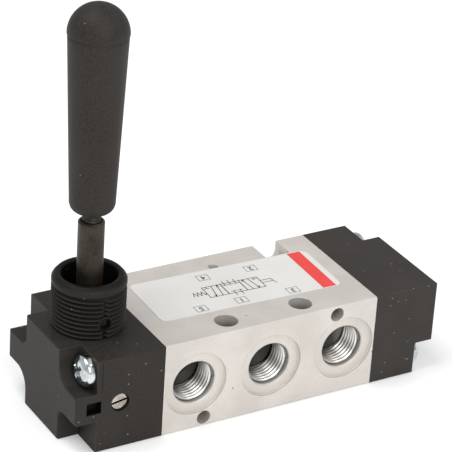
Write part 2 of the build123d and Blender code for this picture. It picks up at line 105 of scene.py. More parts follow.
# Shader groups that several finishes share
def buildGrainGroup():
    tree, given, result = newGroup("fineGrain", "ShaderNodeTree", [
        ("Grain size", "NodeSocketFloat", 0.3 * mm),
        ("Drift size", "NodeSocketFloat", 12 * mm),
        ("Stretch", "NodeSocketVector", (1, 1, 1)),
    ], [("Grain", "NodeSocketFloat", None), ("Drift", "NodeSocketFloat", None)])
    place = addNode(tree, "ShaderNodeTexCoord").outputs["Object"]
    stretched = addNode(tree, "ShaderNodeVectorMath", {0: place, 1: given.outputs["Stretch"]},
                        operation="MULTIPLY").outputs[0]
    for size, label, where, detail in (("Grain size", "Grain", stretched, 3.0),
                                       ("Drift size", "Drift", place, 2.0)):
        scale = calc(tree, "DIVIDE", 1.0, given.outputs[size])
        noise = addNode(tree, "ShaderNodeTexNoise", {"Vector": where, "Scale": scale, "Detail": detail})
        tree.links.new(noise.outputs["Fac"], result.inputs[label])
    return tree


# Edge colour: wear on most finishes, a painted highlight along the edges of the aluminium body
def buildEdgeGroup():
    tree, given, result = newGroup("edgeWearAndHighlight", "ShaderNodeTree", [
        ("Radius", "NodeSocketFloat", 0.3 * mm),
        ("Breakup size", "NodeSocketFloat", 1.5 * mm),
        ("Strength", "NodeSocketFloat", 1.0),
    ], [("Edge", "NodeSocketFloat", None)])
    rounded = addNode(tree, "ShaderNodeBevel", {"Radius": given.outputs["Radius"]}, samples=6)
    plain = addNode(tree, "ShaderNodeNewGeometry")
    normals = {0: rounded.outputs["Normal"], 1: plain.outputs["Normal"]}
    turned = addNode(tree, "ShaderNodeVectorMath", normals, operation="DOT_PRODUCT").outputs["Value"]
    edge = remap(tree, turned, 0.985, 0.80)
    place = addNode(tree, "ShaderNodeTexCoord").outputs["Object"]
    scale = calc(tree, "DIVIDE", 1.0, given.outputs["Breakup size"])
    noise = addNode(tree, "ShaderNodeTexNoise", {"Vector": place, "Scale": scale, "Detail": 3.0})
    broken = remap(tree, noise.outputs["Fac"], 0.3, 0.65, 0.25, 1.0)
    edgeRubAndShine = calc(tree, "MULTIPLY", edge, broken)
    strength = calc(tree, "MULTIPLY", edgeRubAndShine, given.outputs["Strength"], clamp=True)
    tree.links.new(strength, result.inputs["Edge"])
    return tree


def buildSpeckGroup():
    tree, given, result = newGroup("dustSpecks", "ShaderNodeTree", [
        ("Spacing", "NodeSocketFloat", 2 * mm),
        ("Speck size", "NodeSocketFloat", 0.1),
        ("Share", "NodeSocketFloat", 0.3),
    ], [("Specks", "NodeSocketFloat", None)])
    place = addNode(tree, "ShaderNodeTexCoord").outputs["Object"]
    scale = calc(tree, "DIVIDE", 1.0, given.outputs["Spacing"])
    cells = addNode(tree, "ShaderNodeTexVoronoi", {"Vector": place, "Scale": scale, "Randomness": 1.0})
    picked = addNode(tree, "ShaderNodeSeparateColor", {"Color": cells.outputs["Color"]})
    size = calc(tree, "MULTIPLY", given.outputs["Speck size"], picked.outputs["Green"])
    near = calc(tree, "LESS_THAN", cells.outputs["Distance"], size)
    chosen = calc(tree, "LESS_THAN", picked.outputs["Red"], given.outputs["Share"])
    tree.links.new(calc(tree, "MULTIPLY", near, chosen), result.inputs["Specks"])
    return tree


grainGroup = buildGrainGroup()
edgeGroup = buildEdgeGroup()
speckGroup = buildSpeckGroup()


def placeGroup(tree, group, inputs):
    node = tree.nodes.new("ShaderNodeGroup")
    node.node_tree = group
    for name, value in inputs.items():
        node.inputs[name].default_value = value
    return node


def blendColour(tree, factor, low, high):
    mix = addNode(tree, "ShaderNodeMix", data_type="RGBA")
    for socket, value in zip([mix.inputs[0], mix.inputs[6], mix.inputs[7]], [factor, low, high]):
        if isinstance(value, bpy.types.NodeSocket):
            tree.links.new(value, socket)
        else:
            socket.default_value = value
    return mix.outputs[2]


def rgb(red, green, blue):
    return (red, green, blue, 1.0)


# Every finish is the same chain: drift and grain tint the colour, worn edges and specks lie over it; on the
# aluminium the edge colour is a painted highlight, and some finishes add painted shade in grooves, thread
# roots and bores
def makeFinish(name, look):
    material = bpy.data.materials.new(name)
    material.use_nodes = True
    tree = material.node_tree
    shader = tree.nodes["Principled BSDF"]
    grain = placeGroup(tree, grainGroup, {
        "Grain size": look["grainSize"], "Drift size": look["driftSize"],
        "Stretch": look.get("stretch", (1, 1, 1))})
    tint = remap(tree, grain.outputs["Drift"], 0.35, 0.65)
    colour = blendColour(tree, tint, rgb(*look["dark"]), rgb(*look["light"]))
    mottled = calc(tree, "MULTIPLY", remap(tree, grain.outputs["Grain"], 0.35, 0.65), look["mottle"])
    colour = blendColour(tree, mottled, colour, rgb(*look["mottleColour"]))
    roughness = remap(tree, grain.outputs["Grain"], 0.3, 0.7, look["roughLow"], look["roughHigh"])
    if "edge" in look:
        rubbedAndLitEdge = placeGroup(tree, edgeGroup, {
            "Radius": look["edgeRadius"], "Strength": look["edgeStrength"]}).outputs["Edge"]
        colour = blendColour(tree, rubbedAndLitEdge, colour, rgb(*look["edge"]))
    if "grooveShadeColour" in look:  # painted shade: darker towards the axis of a round part, in the grooves of its thread
        place = splitVector(tree, "ShaderNodeTexCoord", "Object")
        aside = calc(tree, "SUBTRACT", place["X"], leverX)
        squares = [calc(tree, "MULTIPLY", side, side) for side in (aside, place["Y"])]
        radius = calc(tree, "SQRT", calc(tree, "ADD", *squares))
        sunk = remap(tree, radius, look["grooveHigh"], look["grooveLow"])
        colour = blendColour(tree, sunk, colour, rgb(*look["grooveShadeColour"]))
    if "rootShadeColour" in look:  # painted shade in the roots of a thread
        ridge = addNode(tree, "ShaderNodeAttribute", attribute_name="ridge").outputs["Fac"]
        root = remap(tree, ridge, look["rootHigh"], look["rootLow"])
        colour = blendColour(tree, root, colour, rgb(*look["rootShadeColour"]))
    if "paintedBoreShade" in look:  # painted shade: darker on every wall that lies inside the block, where shade falls in bores and openings
        place = splitVector(tree, "ShaderNodeTexCoord", "Object")
        depths = []
        for axis, (low, high) in look["block"].items():
            depths.append(calc(tree, "SUBTRACT", place[axis], low))
            depths.append(calc(tree, "SUBTRACT", high, place[axis]))
        inside = depths[0]
        for depth in depths[1:]:
            inside = calc(tree, "MINIMUM", inside, depth)
        boreShade = remap(tree, inside, look["boreStart"], look["boreDepth"])
        colour = blendColour(tree, boreShade, colour, rgb(*look["paintedBoreShade"]))
    if "speck" in look:
        specks = placeGroup(tree, speckGroup, {
            "Spacing": look["speckSpacing"], "Speck size": look["speckSize"],
            "Share": look["speckShare"]}).outputs["Specks"]
        colour = blendColour(tree, specks, colour, rgb(*look["speck"]))
    if "line" in look:  # a faint upright line on the faces that look to the front
        place = splitVector(tree, "ShaderNodeTexCoord", "Object")
        facing = splitVector(tree, "ShaderNodeNewGeometry", "Normal")
        offset = calc(tree, "ABSOLUTE", calc(tree, "SUBTRACT", place["X"], look["line"]))
        narrow = calc(tree, "LESS_THAN", offset, look["lineWidth"] / 2)
        front = calc(tree, "LESS_THAN", facing["Y"], -0.9)
        above = calc(tree, "GREATER_THAN", place["Z"], look["lineLow"])
        onLine = calc(tree, "MULTIPLY", calc(tree, "MULTIPLY", narrow, front), above)
        shown = calc(tree, "MULTIPLY", onLine, look["lineStrength"])
        colour = blendColour(tree, shown, colour, rgb(*look["lineColour"]))
    tree.links.new(colour, shader.inputs["Base Color"])
    tree.links.new(roughness, shader.inputs["Roughness"])
    bump = addNode(tree, "ShaderNodeBump", {"Strength": look["bump"], "Distance": look["bumpDepth"],
                                            "Height": grain.outputs["Grain"]})
    if "rounded" in look:  # sharp edges catch the light as if slightly rounded
        soft = addNode(tree, "ShaderNodeBevel", {"Radius": look["rounded"]}, samples=6)
        tree.links.new(soft.outputs["Normal"], bump.inputs["Normal"])
    tree.links.new(bump.outputs["Normal"], shader.inputs["Normal"])
    shader.inputs["Metallic"].default_value = look.get("metallic", 0.0)
    shader.inputs["Specular IOR Level"].default_value = look.get("specular", 0.5)
    shader.inputs["Specular Tint"].default_value = rgb(*look.get("specularTint", (1, 1, 1)))
    return material


aluminiumLook = {
    "dark": (0.590, 0.556, 0.516), "light": (0.665, 0.630, 0.588),
    "mottle": 0.22, "mottleColour": (0.50, 0.47, 0.435),
    "grainSize": 0.22 * mm, "driftSize": 9 * mm, "roughLow": 0.38, "roughHigh": 0.56,
    "metallic": 0.4, "bump": 0.16, "bumpDepth": 0.05 * mm,
    # the near-white edge colour is a painted highlight along the body's edges, the front-top edge above all
    "edge": (1.0, 0.98, 0.95), "edgeRadius": 0.40 * mm, "edgeStrength": 0.55, "rounded": 0.3 * mm,
    "speck": (0.28, 0.26, 0.24), "speckSpacing": 5 * mm, "speckSize": 0.05, "speckShare": 0.25,
    # painted shade on the walls inside the ports, darker deeper in
    "paintedBoreShade": (0.045, 0.043, 0.037), "boreStart": 1.0 * mm, "boreDepth": 5 * mm,
    "block": {axis: (getattr(bodyLow, axis.lower()), getattr(bodyHigh, axis.lower())) for axis in "XYZ"},
}
machinedLook = {
    "dark": (0.50, 0.49, 0.455), "light": (0.70, 0.69, 0.655),
    "mottle": 0.2, "mottleColour": (0.36, 0.35, 0.32),
    "grainSize": 0.3 * mm, "driftSize": 3 * mm, "roughLow": 0.22, "roughHigh": 0.34,
    "metallic": 1.0, "bump": 0.05, "bumpDepth": 0.02 * mm,
}
# painted shade deeper in the ports and painted shade in the thread roots
threadLook = dict(machinedLook, paintedBoreShade=(0.075, 0.071, 0.062), boreStart=2.2 * mm, boreDepth=7.5 * mm,
                  block=aluminiumLook["block"], rootShadeColour=(0.07, 0.067, 0.060), rootLow=0.2, rootHigh=0.7,
                  mottle=0.1, bump=0.0, roughLow=0.30, roughHigh=0.38,
                  light=(0.92, 0.90, 0.86), dark=(0.80, 0.78, 0.74))
mouldingLook = {
    "dark": (0.0165, 0.0140, 0.0125), "light": (0.0250, 0.0215, 0.0195), "mottle": 0.6,
    "mottleColour": (0.038, 0.034, 0.031), "grainSize": 0.33 * mm, "driftSize": 10 * mm,
    "roughLow": 0.46, "roughHigh": 0.66, "bump": 0.45, "bumpDepth": 0.06 * mm, "specular": 0.31,
    "specularTint": (1.0, 0.93, 0.89),
    "edge": (0.085, 0.078, 0.072), "edgeRadius": 0.3 * mm, "edgeStrength": 0.55,
    "speck": (0.17, 0.155, 0.135), "speckSpacing": 1.9 * mm, "speckSize": 0.11, "speckShare": 0.5,
}
# The latch windows of the lever head, whose walls get painted shade so they stay dark, and the line beside
# them
window = {"setBack": 16.05 * mm, "halfLength": 2.4 * mm, "halfHeight": 2.15 * mm, "lineSetBack": 14.3 * mm}
windowX = bodyLow.x - window["setBack"]
windowBlock = {
    "X": (windowX - window["halfLength"], windowX + window["halfLength"]),
    "Y": (bodyLow.y, bodyHigh.y),
    "Z": (spoolZ - window["halfHeight"], spoolZ + window["halfHeight"]),
}
headLook = dict(mouldingLook, dark=(0.0125, 0.0105, 0.0095), light=(0.0185, 0.0158, 0.0142), specular=0.23,
                paintedBoreShade=(0.0012, 0.0011, 0.001), boreStart=0.15 * mm, boreDepth=0.5 * mm,
                block=windowBlock, line=bodyLow.x - window["lineSetBack"], lineWidth=0.2 * mm,
                lineLow=14 * mm, lineStrength=0.85, lineColour=(0.002, 0.002, 0.002))
# the collar's thread grooves get painted shade, darker towards its axis
collarLook = dict(mouldingLook, dark=(0.0075, 0.0065, 0.0058), light=(0.0120, 0.0105, 0.0095),
                  mottleColour=(0.020, 0.018, 0.016), edge=(0.045, 0.042, 0.039), edgeStrength=0.2,
                  speckShare=0.25, specular=0.24, grooveShadeColour=(0.0010, 0.0009, 0.0008),
                  grooveLow=collarRoot + 0.08 * mm, grooveHigh=collarRadius - 0.12 * mm)
gripLook = dict(mouldingLook, dark=(0.0110, 0.0092, 0.0082), light=(0.0160, 0.0136, 0.0122),
                grainSize=0.4 * mm, driftSize=16 * mm, roughLow=0.50, roughHigh=0.68, bump=0.30,
                edgeStrength=0.2, speckShare=0.16, specular=0.28)
rodLook = {
    "dark": (0.020, 0.016, 0.012), "light": (0.050, 0.040, 0.031),
    "mottle": 0.3, "mottleColour": (0.10, 0.085, 0.070),
    "grainSize": 0.25 * mm, "driftSize": 5 * mm, "stretch": (1, 1, 0.3), "roughLow": 0.38, "roughHigh": 0.52,
    "metallic": 0.75, "bump": 0.12, "bumpDepth": 0.03 * mm,
    "speck": (0.35, 0.32, 0.28), "speckSpacing": 2.2 * mm, "speckSize": 0.07, "speckShare": 0.2,
}
pinLook = dict(rodLook, dark=(0.004, 0.0035, 0.003), light=(0.010, 0.0085, 0.007), mottle=0.1, metallic=0.3)
zincLook = {
    "dark": (0.45, 0.49, 0.51), "light": (0.76, 0.80, 0.81),
    "mottle": 0.2, "mottleColour": (0.34, 0.38, 0.41),
    "grainSize": 0.6 * mm, "driftSize": 1.8 * mm, "roughLow": 0.12, "roughHigh": 0.22,
    "metallic": 1.0, "bump": 0.05, "bumpDepth": 0.04 * mm,
    "edge": (0.97, 0.98, 0.99), "edgeRadius": 0.15 * mm, "edgeStrength": 0.6,
}
guideLow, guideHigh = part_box("guide_screw")
nickelLook = dict(zincLook, dark=(0.42, 0.37, 0.32), light=(0.66, 0.60, 0.54),
                  mottle=0.6, mottleColour=(0.24, 0.20, 0.17), roughLow=0.2, roughHigh=0.42, bump=0.3,
                  paintedBoreShade=(0.01, 0.009, 0.008), boreStart=0.05 * mm, boreDepth=0.3 * mm,
                  block={"Y": (guideLow.y, guideHigh.y + 10 * mm)})  # deeper than its front: the slot and mouth, which get painted shade
brassLook = dict(machinedLook, dark=(0.55, 0.38, 0.14), light=(0.75, 0.55, 0.25),
                 mottleColour=(0.35, 0.25, 0.10))
rubberLook = dict(mouldingLook, dark=(0.006, 0.006, 0.006), light=(0.009, 0.009, 0.009), speckShare=0.0)
spacerLook = dict(rubberLook, dark=(0.20, 0.185, 0.17), light=(0.26, 0.24, 0.22),
                  mottleColour=(0.30, 0.28, 0.26))
springLook = dict(zincLook, dark=(0.45, 0.45, 0.44), light=(0.62, 0.61, 0.60), grainSize=0.2 * mm)
labelLook = {
    "dark": (0.66, 0.652, 0.628), "light": (0.70, 0.692, 0.668),
    "mottle": 0.08, "mottleColour": (0.60, 0.592, 0.575),
    "grainSize": 0.6 * mm, "driftSize": 14 * mm, "roughLow": 0.36, "roughHigh": 0.48, "specular": 0.35,
    "bump": 0.05, "bumpDepth": 0.02 * mm,
    "edge": (0.35, 0.34, 0.33), "edgeRadius": 0.1 * mm, "edgeStrength": 0.8,
}
inkLook = {
    "dark": (0.045, 0.043, 0.043), "light": (0.085, 0.082, 0.080),
    "mottle": 0.4, "mottleColour": (0.20, 0.195, 0.19),
    "grainSize": 0.18 * mm, "driftSize": 1.2 * mm, "roughLow": 0.4, "roughHigh": 0.55, "specular": 0.3,
    "bump": 0.05, "bumpDepth": 0.01 * mm,
}
stripeLook = dict(inkLook, dark=(0.66, 0.040, 0.036), light=(0.74, 0.055, 0.050), mottle=0.15,
                  mottleColour=(0.80, 0.14, 0.12), driftSize=6 * mm)

finishes = {}
for name, look in {
    "satinAluminium": aluminiumLook, "machinedAluminium": machinedLook, "cutThread": threadLook,
    "blackMoulding": mouldingLook, "headMoulding": headLook, "collarMoulding": collarLook,
    "gripMoulding": gripLook, "burnishedSteel": rodLook, "darkSteel": pinLook,
    "zincPlate": zincLook, "satinNickel": nickelLook, "insertBrass": brassLook, "sealRubber": rubberLook,
    "spacerPlastic": spacerLook, "springSteel": springLook, "labelFilm": labelLook, "printInk": inkLook,
    "printRed": stripeLook,
}.items():
    finishes[name] = makeFinish(name, look)
print("finishes made:", len(finishes))

nodeFinish = {
    "valve_body": "satinAluminium", "ball_plug": "zincPlate", "label": "labelFilm",
    "lever_housing": "headMoulding", "threaded_collar": "collarMoulding", "pivot_pin": "darkSteel",
    "lever_rod": "burnishedSteel", "lever_stud": "burnishedSteel", "grip": "gripMoulding",
    "grip_insert": "insertBrass", "spool": "machinedAluminium",
    "guide_screw": "satinNickel", "end_cap": "blackMoulding", "housing_screws": "zincPlate",
    "cap_screws": "zincPlate", "housing_o_ring": "sealRubber", "cap_o_ring": "sealRubber",
    "spool_seals": "sealRubber", "seal_spacers": "spacerPlastic", "guide_bushes": "spacerPlastic",
    "spring_washer": "springSteel", "inner_spring": "springSteel", "outer_spring": "springSteel",
    "spring_seat": "spacerPlastic", "spool_end_screw": "zincPlate",
}
for name, finish in nodeFinish.items():
    mesh = nodes[name].data
    mesh.materials.clear()
    mesh.materials.append(finishes[finish])
print("nodes finished:", len(nodeFinish))


# Making pieces
def putInScene(name, data):
    item = bpy.data.objects.new(name, data)
    bpy.context.scene.collection.objects.link(item)
    return item


def meshFromShape(name, shape):
    mesh = bpy.data.meshes.new(name)
    shape.to_mesh(mesh)
    shape.free()
    return mesh


def plainMesh(item):
    # The item as its modifiers or its text show it, as a mesh of its own
    graph = bpy.context.evaluated_depsgraph_get()
    return bpy.data.meshes.new_from_object(item.evaluated_get(graph))


def addPiece(name, source, finish, body, replaced=(), smoothAngle=35):
    mesh = meshFromShape(name, source) if isinstance(source, bmesh.types.BMesh) else source
    mesh.name = name
    mesh.materials.clear()
    mesh.materials.append(finishes[finish])
    piece = putInScene(name, mesh)
    mesh.shade_smooth()
    mesh.set_sharp_from_angle(angle=math.radians(smoothAngle))
    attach(piece, body)
    if replaced:
        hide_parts(*replaced)
    return piece


def turnOutline(outline, steps, axisPlace=Matrix.Identity(4)):
    # A closed ring or a solid turned about local Z; outline points are (radius, height)
    shape = bmesh.new()
    rings = []
    for step in range(steps):
        angle = 2 * math.pi * step / steps
        rings.append([shape.verts.new((radius * math.cos(angle), radius * math.sin(angle), height))
                      for radius, height in outline])
    for step in range(steps):
        here, there = rings[step], rings[(step + 1) % steps]
        for index in range(len(outline)):
            following = (index + 1) % len(outline)
            shape.faces.new([here[index], here[following], there[following], there[index]])
    bmesh.ops.remove_doubles(shape, verts=shape.verts, dist=1e-7)
    bmesh.ops.dissolve_degenerate(shape, edges=shape.edges, dist=1e-7)
    bmesh.ops.recalc_face_normals(shape, faces=shape.faces)
    shape.transform(axisPlace)
    return shape


def cutMesh(shape, cutters):
    # Takes the cutter shapes out of a shape and gives back a mesh
    target = putInScene("target", meshFromShape("target", shape))
    helpers = []
    for cutter in cutters:
        helper = putInScene("cutter", meshFromShape("cutter", cutter))
        modifier = target.modifiers.new("cut", "BOOLEAN")
        modifier.operation = "DIFFERENCE"
        modifier.solver = "EXACT"
        modifier.object = helper
        helpers.append(helper)
    mesh = plainMesh(target)
    for item in [target, *helpers]:
        bpy.data.objects.remove(item)
    return mesh


def placeFrom(origin, direction):
    # Local Z points along the direction
    turn = Vector(direction).to_track_quat("Z", "Y").to_matrix().to_4x4()
    return Matrix.Translation(origin) @ turn


def rod(radius, start, end, steps=32):
    length = (Vector(end) - Vector(start)).length
    place = placeFrom(start, Vector(end) - Vector(start))
    return turnOutline([(0, 0), (radius, 0), (radius, length), (0, length)], steps, place)


def joinMeshes(meshes):
    shape = bmesh.new()
    for mesh in meshes:
        shape.from_mesh(mesh)
        bpy.data.meshes.remove(mesh)
    return shape


# Both Geometry Nodes trees turn their copies to each point's axis, then make them real and finish them
def turnToAxis(tree):
    axis = addNode(tree, "GeometryNodeInputNamedAttribute", {"Name": "axis"}, data_type="FLOAT_VECTOR")
    inputs = {"Vector": axis.outputs["Attribute"]}
    return addNode(tree, "FunctionNodeAlignRotationToVector", inputs, axis="Z").outputs[0]


def finishCopies(tree, given, result, shape, turn):
    copies = addNode(tree, "GeometryNodeInstanceOnPoints", {
        "Points": given.outputs["Points"], "Instance": shape, "Rotation": turn})
    real = addNode(tree, "GeometryNodeRealizeInstances", {"Geometry": copies.outputs[0]})
    done = addNode(tree, "GeometryNodeSetMaterial", {
        "Geometry": real.outputs[0], "Material": given.outputs["Finish"]})
    tree.links.new(done.outputs[0], result.inputs["Geometry"])


# Geometry Nodes: a helical thread, set on every point along its axis
def buildThreadTree():
    tree, given, result = newGroup("helicalThread", "GeometryNodeTree", [
        ("Points", "NodeSocketGeometry", None),
        ("Root radius", "NodeSocketFloat", 4.86 * mm),
        ("Ridge height", "NodeSocketFloat", -0.5 * mm),
        ("Pitch", "NodeSocketFloat", 0.907 * mm),
        ("Turns", "NodeSocketInt", 7),
        ("Steps per turn", "NodeSocketInt", 64),
        ("Run-out turns", "NodeSocketFloat", 0.5),
        ("Flat share", "NodeSocketFloat", 0.0),
        ("Faces inwards", "NodeSocketBool", False),
        ("Finish", "NodeSocketMaterial", None),
    ], [("Geometry", "NodeSocketGeometry", None)])
    value = given.outputs
    rows = calc(tree, "ADD", calc(tree, "MULTIPLY", value["Turns"], value["Steps per turn"]), 1.0)
    strip = addNode(tree, "GeometryNodeMeshGrid", {
        "Size X": 1.0, "Size Y": 1.0, "Vertices X": 9, "Vertices Y": rows})
    place = splitVector(tree, "GeometryNodeInputPosition", 0)
    across = calc(tree, "ADD", place["X"], 0.5)
    along = calc(tree, "ADD", place["Y"], 0.5)
    turned = calc(tree, "MULTIPLY", along, value["Turns"])
    angle = calc(tree, "MULTIPLY", turned, 2 * math.pi)
    # The ridge is a V with a small flat at its root and crest
    slope = calc(tree, "SUBTRACT", 0.5, calc(tree, "ABSOLUTE", place["X"]))
    ridge = calc(tree, "MULTIPLY_ADD", slope, 2.5, -0.125, clamp=True)
    left = calc(tree, "SUBTRACT", value["Turns"], turned)
    ending = calc(tree, "DIVIDE", calc(tree, "MINIMUM", turned, left), value["Run-out turns"], clamp=True)
    side = calc(tree, "ADD", calc(tree, "ABSOLUTE", calc(tree, "COSINE", angle)), 0.001)
    flat = calc(tree, "DIVIDE", side, calc(tree, "MAXIMUM", value["Flat share"], 0.0001), clamp=True)
    height = calc(tree, "MULTIPLY", calc(tree, "MULTIPLY", ridge, ending), flat)
    radius = calc(tree, "MULTIPLY_ADD", height, value["Ridge height"], value["Root radius"])
    depth = calc(tree, "MULTIPLY", calc(tree, "ADD", turned, across), value["Pitch"])
    spot = addNode(tree, "ShaderNodeCombineXYZ", {
        "X": calc(tree, "MULTIPLY", radius, calc(tree, "COSINE", angle)),
        "Y": calc(tree, "MULTIPLY", radius, calc(tree, "SINE", angle)),
        "Z": calc(tree, "MULTIPLY", depth, -1.0)})
    mark = calc(tree, "MAXIMUM", height, calc(tree, "SUBTRACT", 1.0, ending))
    marked = addNode(tree, "GeometryNodeStoreNamedAttribute", {
        "Geometry": strip.outputs["Mesh"], "Name": "ridge", "Value": mark}, data_type="FLOAT", domain="POINT")
    moved = addNode(tree, "GeometryNodeSetPosition", {
        "Geometry": marked.outputs[0], "Position": spot.outputs[0]})
    joined = addNode(tree, "GeometryNodeMergeByDistance", {
        "Geometry": moved.outputs[0], "Distance": 0.004 * mm})
    flipped = addNode(tree, "GeometryNodeFlipFaces", {
        "Mesh": joined.outputs[0], "Selection": value["Faces inwards"]})
    finishCopies(tree, given, result, flipped.outputs[0], turnToAxis(tree))
    return tree


# Geometry Nodes: copies of one shape, set on points along their axis
def buildCopyTree():
    tree, given, result = newGroup("copiesOnPoints", "GeometryNodeTree", [
        ("Points", "NodeSocketGeometry", None),
        ("Shape", "NodeSocketObject", None),
        ("Random turn", "NodeSocketFloat", 0.0),
        ("Seed", "NodeSocketInt", 3),
        ("Finish", "NodeSocketMaterial", None),
    ], [("Geometry", "NodeSocketGeometry", None)])
    value = given.outputs
    shape = addNode(tree, "GeometryNodeObjectInfo", {"Object": value["Shape"]})
    spin = addNode(tree, "FunctionNodeRandomValue", {"Seed": value["Seed"]}, data_type="FLOAT")
    spun = addNode(tree, "ShaderNodeCombineXYZ", {
        "Z": calc(tree, "MULTIPLY", spin.outputs["Value"], value["Random turn"])})
    both = addNode(tree, "FunctionNodeRotateRotation", {
        "Rotation": turnToAxis(tree), "Rotate By": spun.outputs[0]}, rotation_space="LOCAL")
    finishCopies(tree, given, result, shape.outputs["Geometry"], both.outputs[0])
    return tree


threadTree = buildThreadTree()
copyTree = buildCopyTree()


def meshFromTree(tree, places, values):
    # Places are (point, axis) pairs; gives back the tree's result as a plain mesh
    points = bpy.data.meshes.new("points")
    points.from_pydata([tuple(point) for point, _ in places], [], [])
    attribute = points.attributes.new("axis", "FLOAT_VECTOR", "POINT")
    attribute.data.foreach_set("vector", [number for _, axis in places for number in axis])
    carrier = putInScene("carrier", points)
    modifier = carrier.modifiers.new("tree", "NODES")
    modifier.node_group = tree
    for item in tree.interface.items_tree:
        if item.item_type == "SOCKET" and item.in_out == "INPUT" and item.name in values:
            modifier[item.identifier] = values[item.name]
    mesh = plainMesh(carrier)
    carrier.modifiers.clear()
    bpy.data.objects.remove(carrier)
    return mesh


# Threads in the five ports
portThread = {"pitch": 0.907 * mm, "height": 0.52 * mm, "turns": 7, "steps": 96, "runOut": 0.25,
              "start": 0.04 * mm, "gap": 0.035 * mm}
portNames = [name for name in mounts if name.startswith("port_")]
portPlaces = []
for name in portNames:
    mount = mounts[name]
    axis = Vector(mount["axis"])
    mouth = Vector(mount["pos_m"]) + axis * (mount["dims"]["length_mm"] * mm / 2 - portThread["start"])
    portPlaces.append((mouth, axis))
portRadius = mounts["port_1"]["dims"]["r_mm"] * mm
addPiece("port_threads", meshFromTree(threadTree, portPlaces, {
    "Root radius": portRadius - portThread["gap"], "Ridge height": -portThread["height"],
    "Pitch": portThread["pitch"], "Turns": portThread["turns"], "Steps per turn": portThread["steps"],
    "Faces inwards": True, "Run-out turns": portThread["runOut"], "Finish": finishes["cutThread"],
}), "cutThread", "valve", smoothAngle=30)
print("port threads made:", len(portPlaces))

# Threaded collar with its plain rim, its bore ribs and the pivot holes
collar = {
    "wall": 1.95 * mm, "spigotStep": 0.85 * mm, "steps": 128, "lip": 0.4 * mm,
    "rimHeight": 2.15 * mm, "rimChamfer": 0.9 * mm, "rimRise": 0.25 * mm, "rimRounding": 0.12 * mm,
    "threadHeight": collarRadius - collarRoot, "pitch": 1.0 * mm, "flatShare": 0.09, "runOut": 0.25,
    "threadRise": 0.1 * mm, "threadSink": 0.01 * mm,
    "ribDepth": 0.45 * mm, "ribWidth": 0.9 * mm, "ribAngles": (48, 82, 118, 228, 262, 298),
    "ribFromTop": 1.2 * mm, "ribFromLow": 0.5 * mm, "ribSink": 0.05 * mm,
    "holeRadius": 1.0 * mm, "mouthRadius": 1.35 * mm, "mouthDepth": 0.6 * mm,
    "bossRadius": 1.7 * mm, "bossSink": 0.6 * mm, "bossDrop": 0.2 * mm, "bossBevel": 0.15 * mm,
}
boreRadius = collarRadius - collar["wall"]
spigotRadius = collarRadius - collar["spigotStep"]
collarBase = bodyHigh.z
rimLow = collarHigh.z - collar["rimHeight"]
leverAxis = Matrix.Translation((leverX, 0, 0))
chamfer, rounding, lip = collar["rimChamfer"], collar["rimRounding"], collar["lip"]
ring = turnOutline([
    (boreRadius, collarLow.z), (spigotRadius, collarLow.z), (spigotRadius, collarBase),
    (collarRoot, collarBase), (collarRoot, rimLow), (collarRadius, rimLow + collar["rimRise"]),
    (collarRadius, collarHigh.z - 1.25 * chamfer),  # the rim's chamfer has soft ends
    (collarRadius - rounding, collarHigh.z - 0.95 * chamfer),
    (collarRadius - 0.85 * chamfer, collarHigh.z - rounding),
    (collarRadius - 1.1 * chamfer, collarHigh.z),
    (boreRadius + lip, collarHigh.z), (boreRadius + rounding / 2, collarHigh.z - 0.7 * lip),
    (boreRadius, collarHigh.z - 1.4 * lip),
], collar["steps"], leverAxis)
cutters = []
for side in (-1, 1):
    outside = Vector((leverX, side * (collarRadius + mm), pivotZ))
    inside = Vector((leverX, side * (boreRadius - mm), pivotZ))
    step = Vector((leverX, side * (collarRadius - collar["mouthDepth"]), pivotZ))
    cutters.append(rod(collar["holeRadius"], inside, outside))
    cutters.append(rod(collar["mouthRadius"], step, outside))
ringMesh = cutMesh(ring, cutters)
threadTurns = int((rimLow - collarBase) / collar["pitch"])
threadTop = Vector((leverX, 0, rimLow + collar["threadRise"]))
threadMesh = meshFromTree(threadTree, [(threadTop, Vector((0, 0, 1)))], {
    "Root radius": collarRoot - collar["threadSink"],
    "Ridge height": collar["threadHeight"] + collar["threadSink"],
    "Pitch": collar["pitch"], "Turns": threadTurns, "Steps per turn": collar["steps"],
    "Flat share": collar["flatShare"], "Run-out turns": collar["runOut"],
    "Finish": finishes["collarMoulding"],
})
bossRadius, bevel = collar["bossRadius"], collar["bossBevel"]
threadShape = joinMeshes([threadMesh])
holed = []
for face in threadShape.faces:  # the thread stops at the ring around each pivot hole
    middle = face.calc_center_median()
    if math.hypot(middle.x - leverX, middle.z - pivotZ) < bossRadius - bevel:
        holed.append(face)
bmesh.ops.delete(threadShape, geom=holed, context="FACES")
parts = [ringMesh, meshFromShape("thread", threadShape)]
for side in (-1, 1):  # plain ring around each pivot hole
    low, high = collarRoot - collar["bossSink"], collarRadius - collar["bossDrop"]
    boss = turnOutline([
        (collar["mouthRadius"], low), (bossRadius, low), (bossRadius, high - bevel),
        (bossRadius - bevel, high), (collar["mouthRadius"], high),
    ], 40, placeFrom((leverX, 0, pivotZ), (0, side, 0)))
    parts.append(meshFromShape("boss", boss))
ribTop, ribLow = collarHigh.z - collar["ribFromTop"], collarLow.z + collar["ribFromLow"]
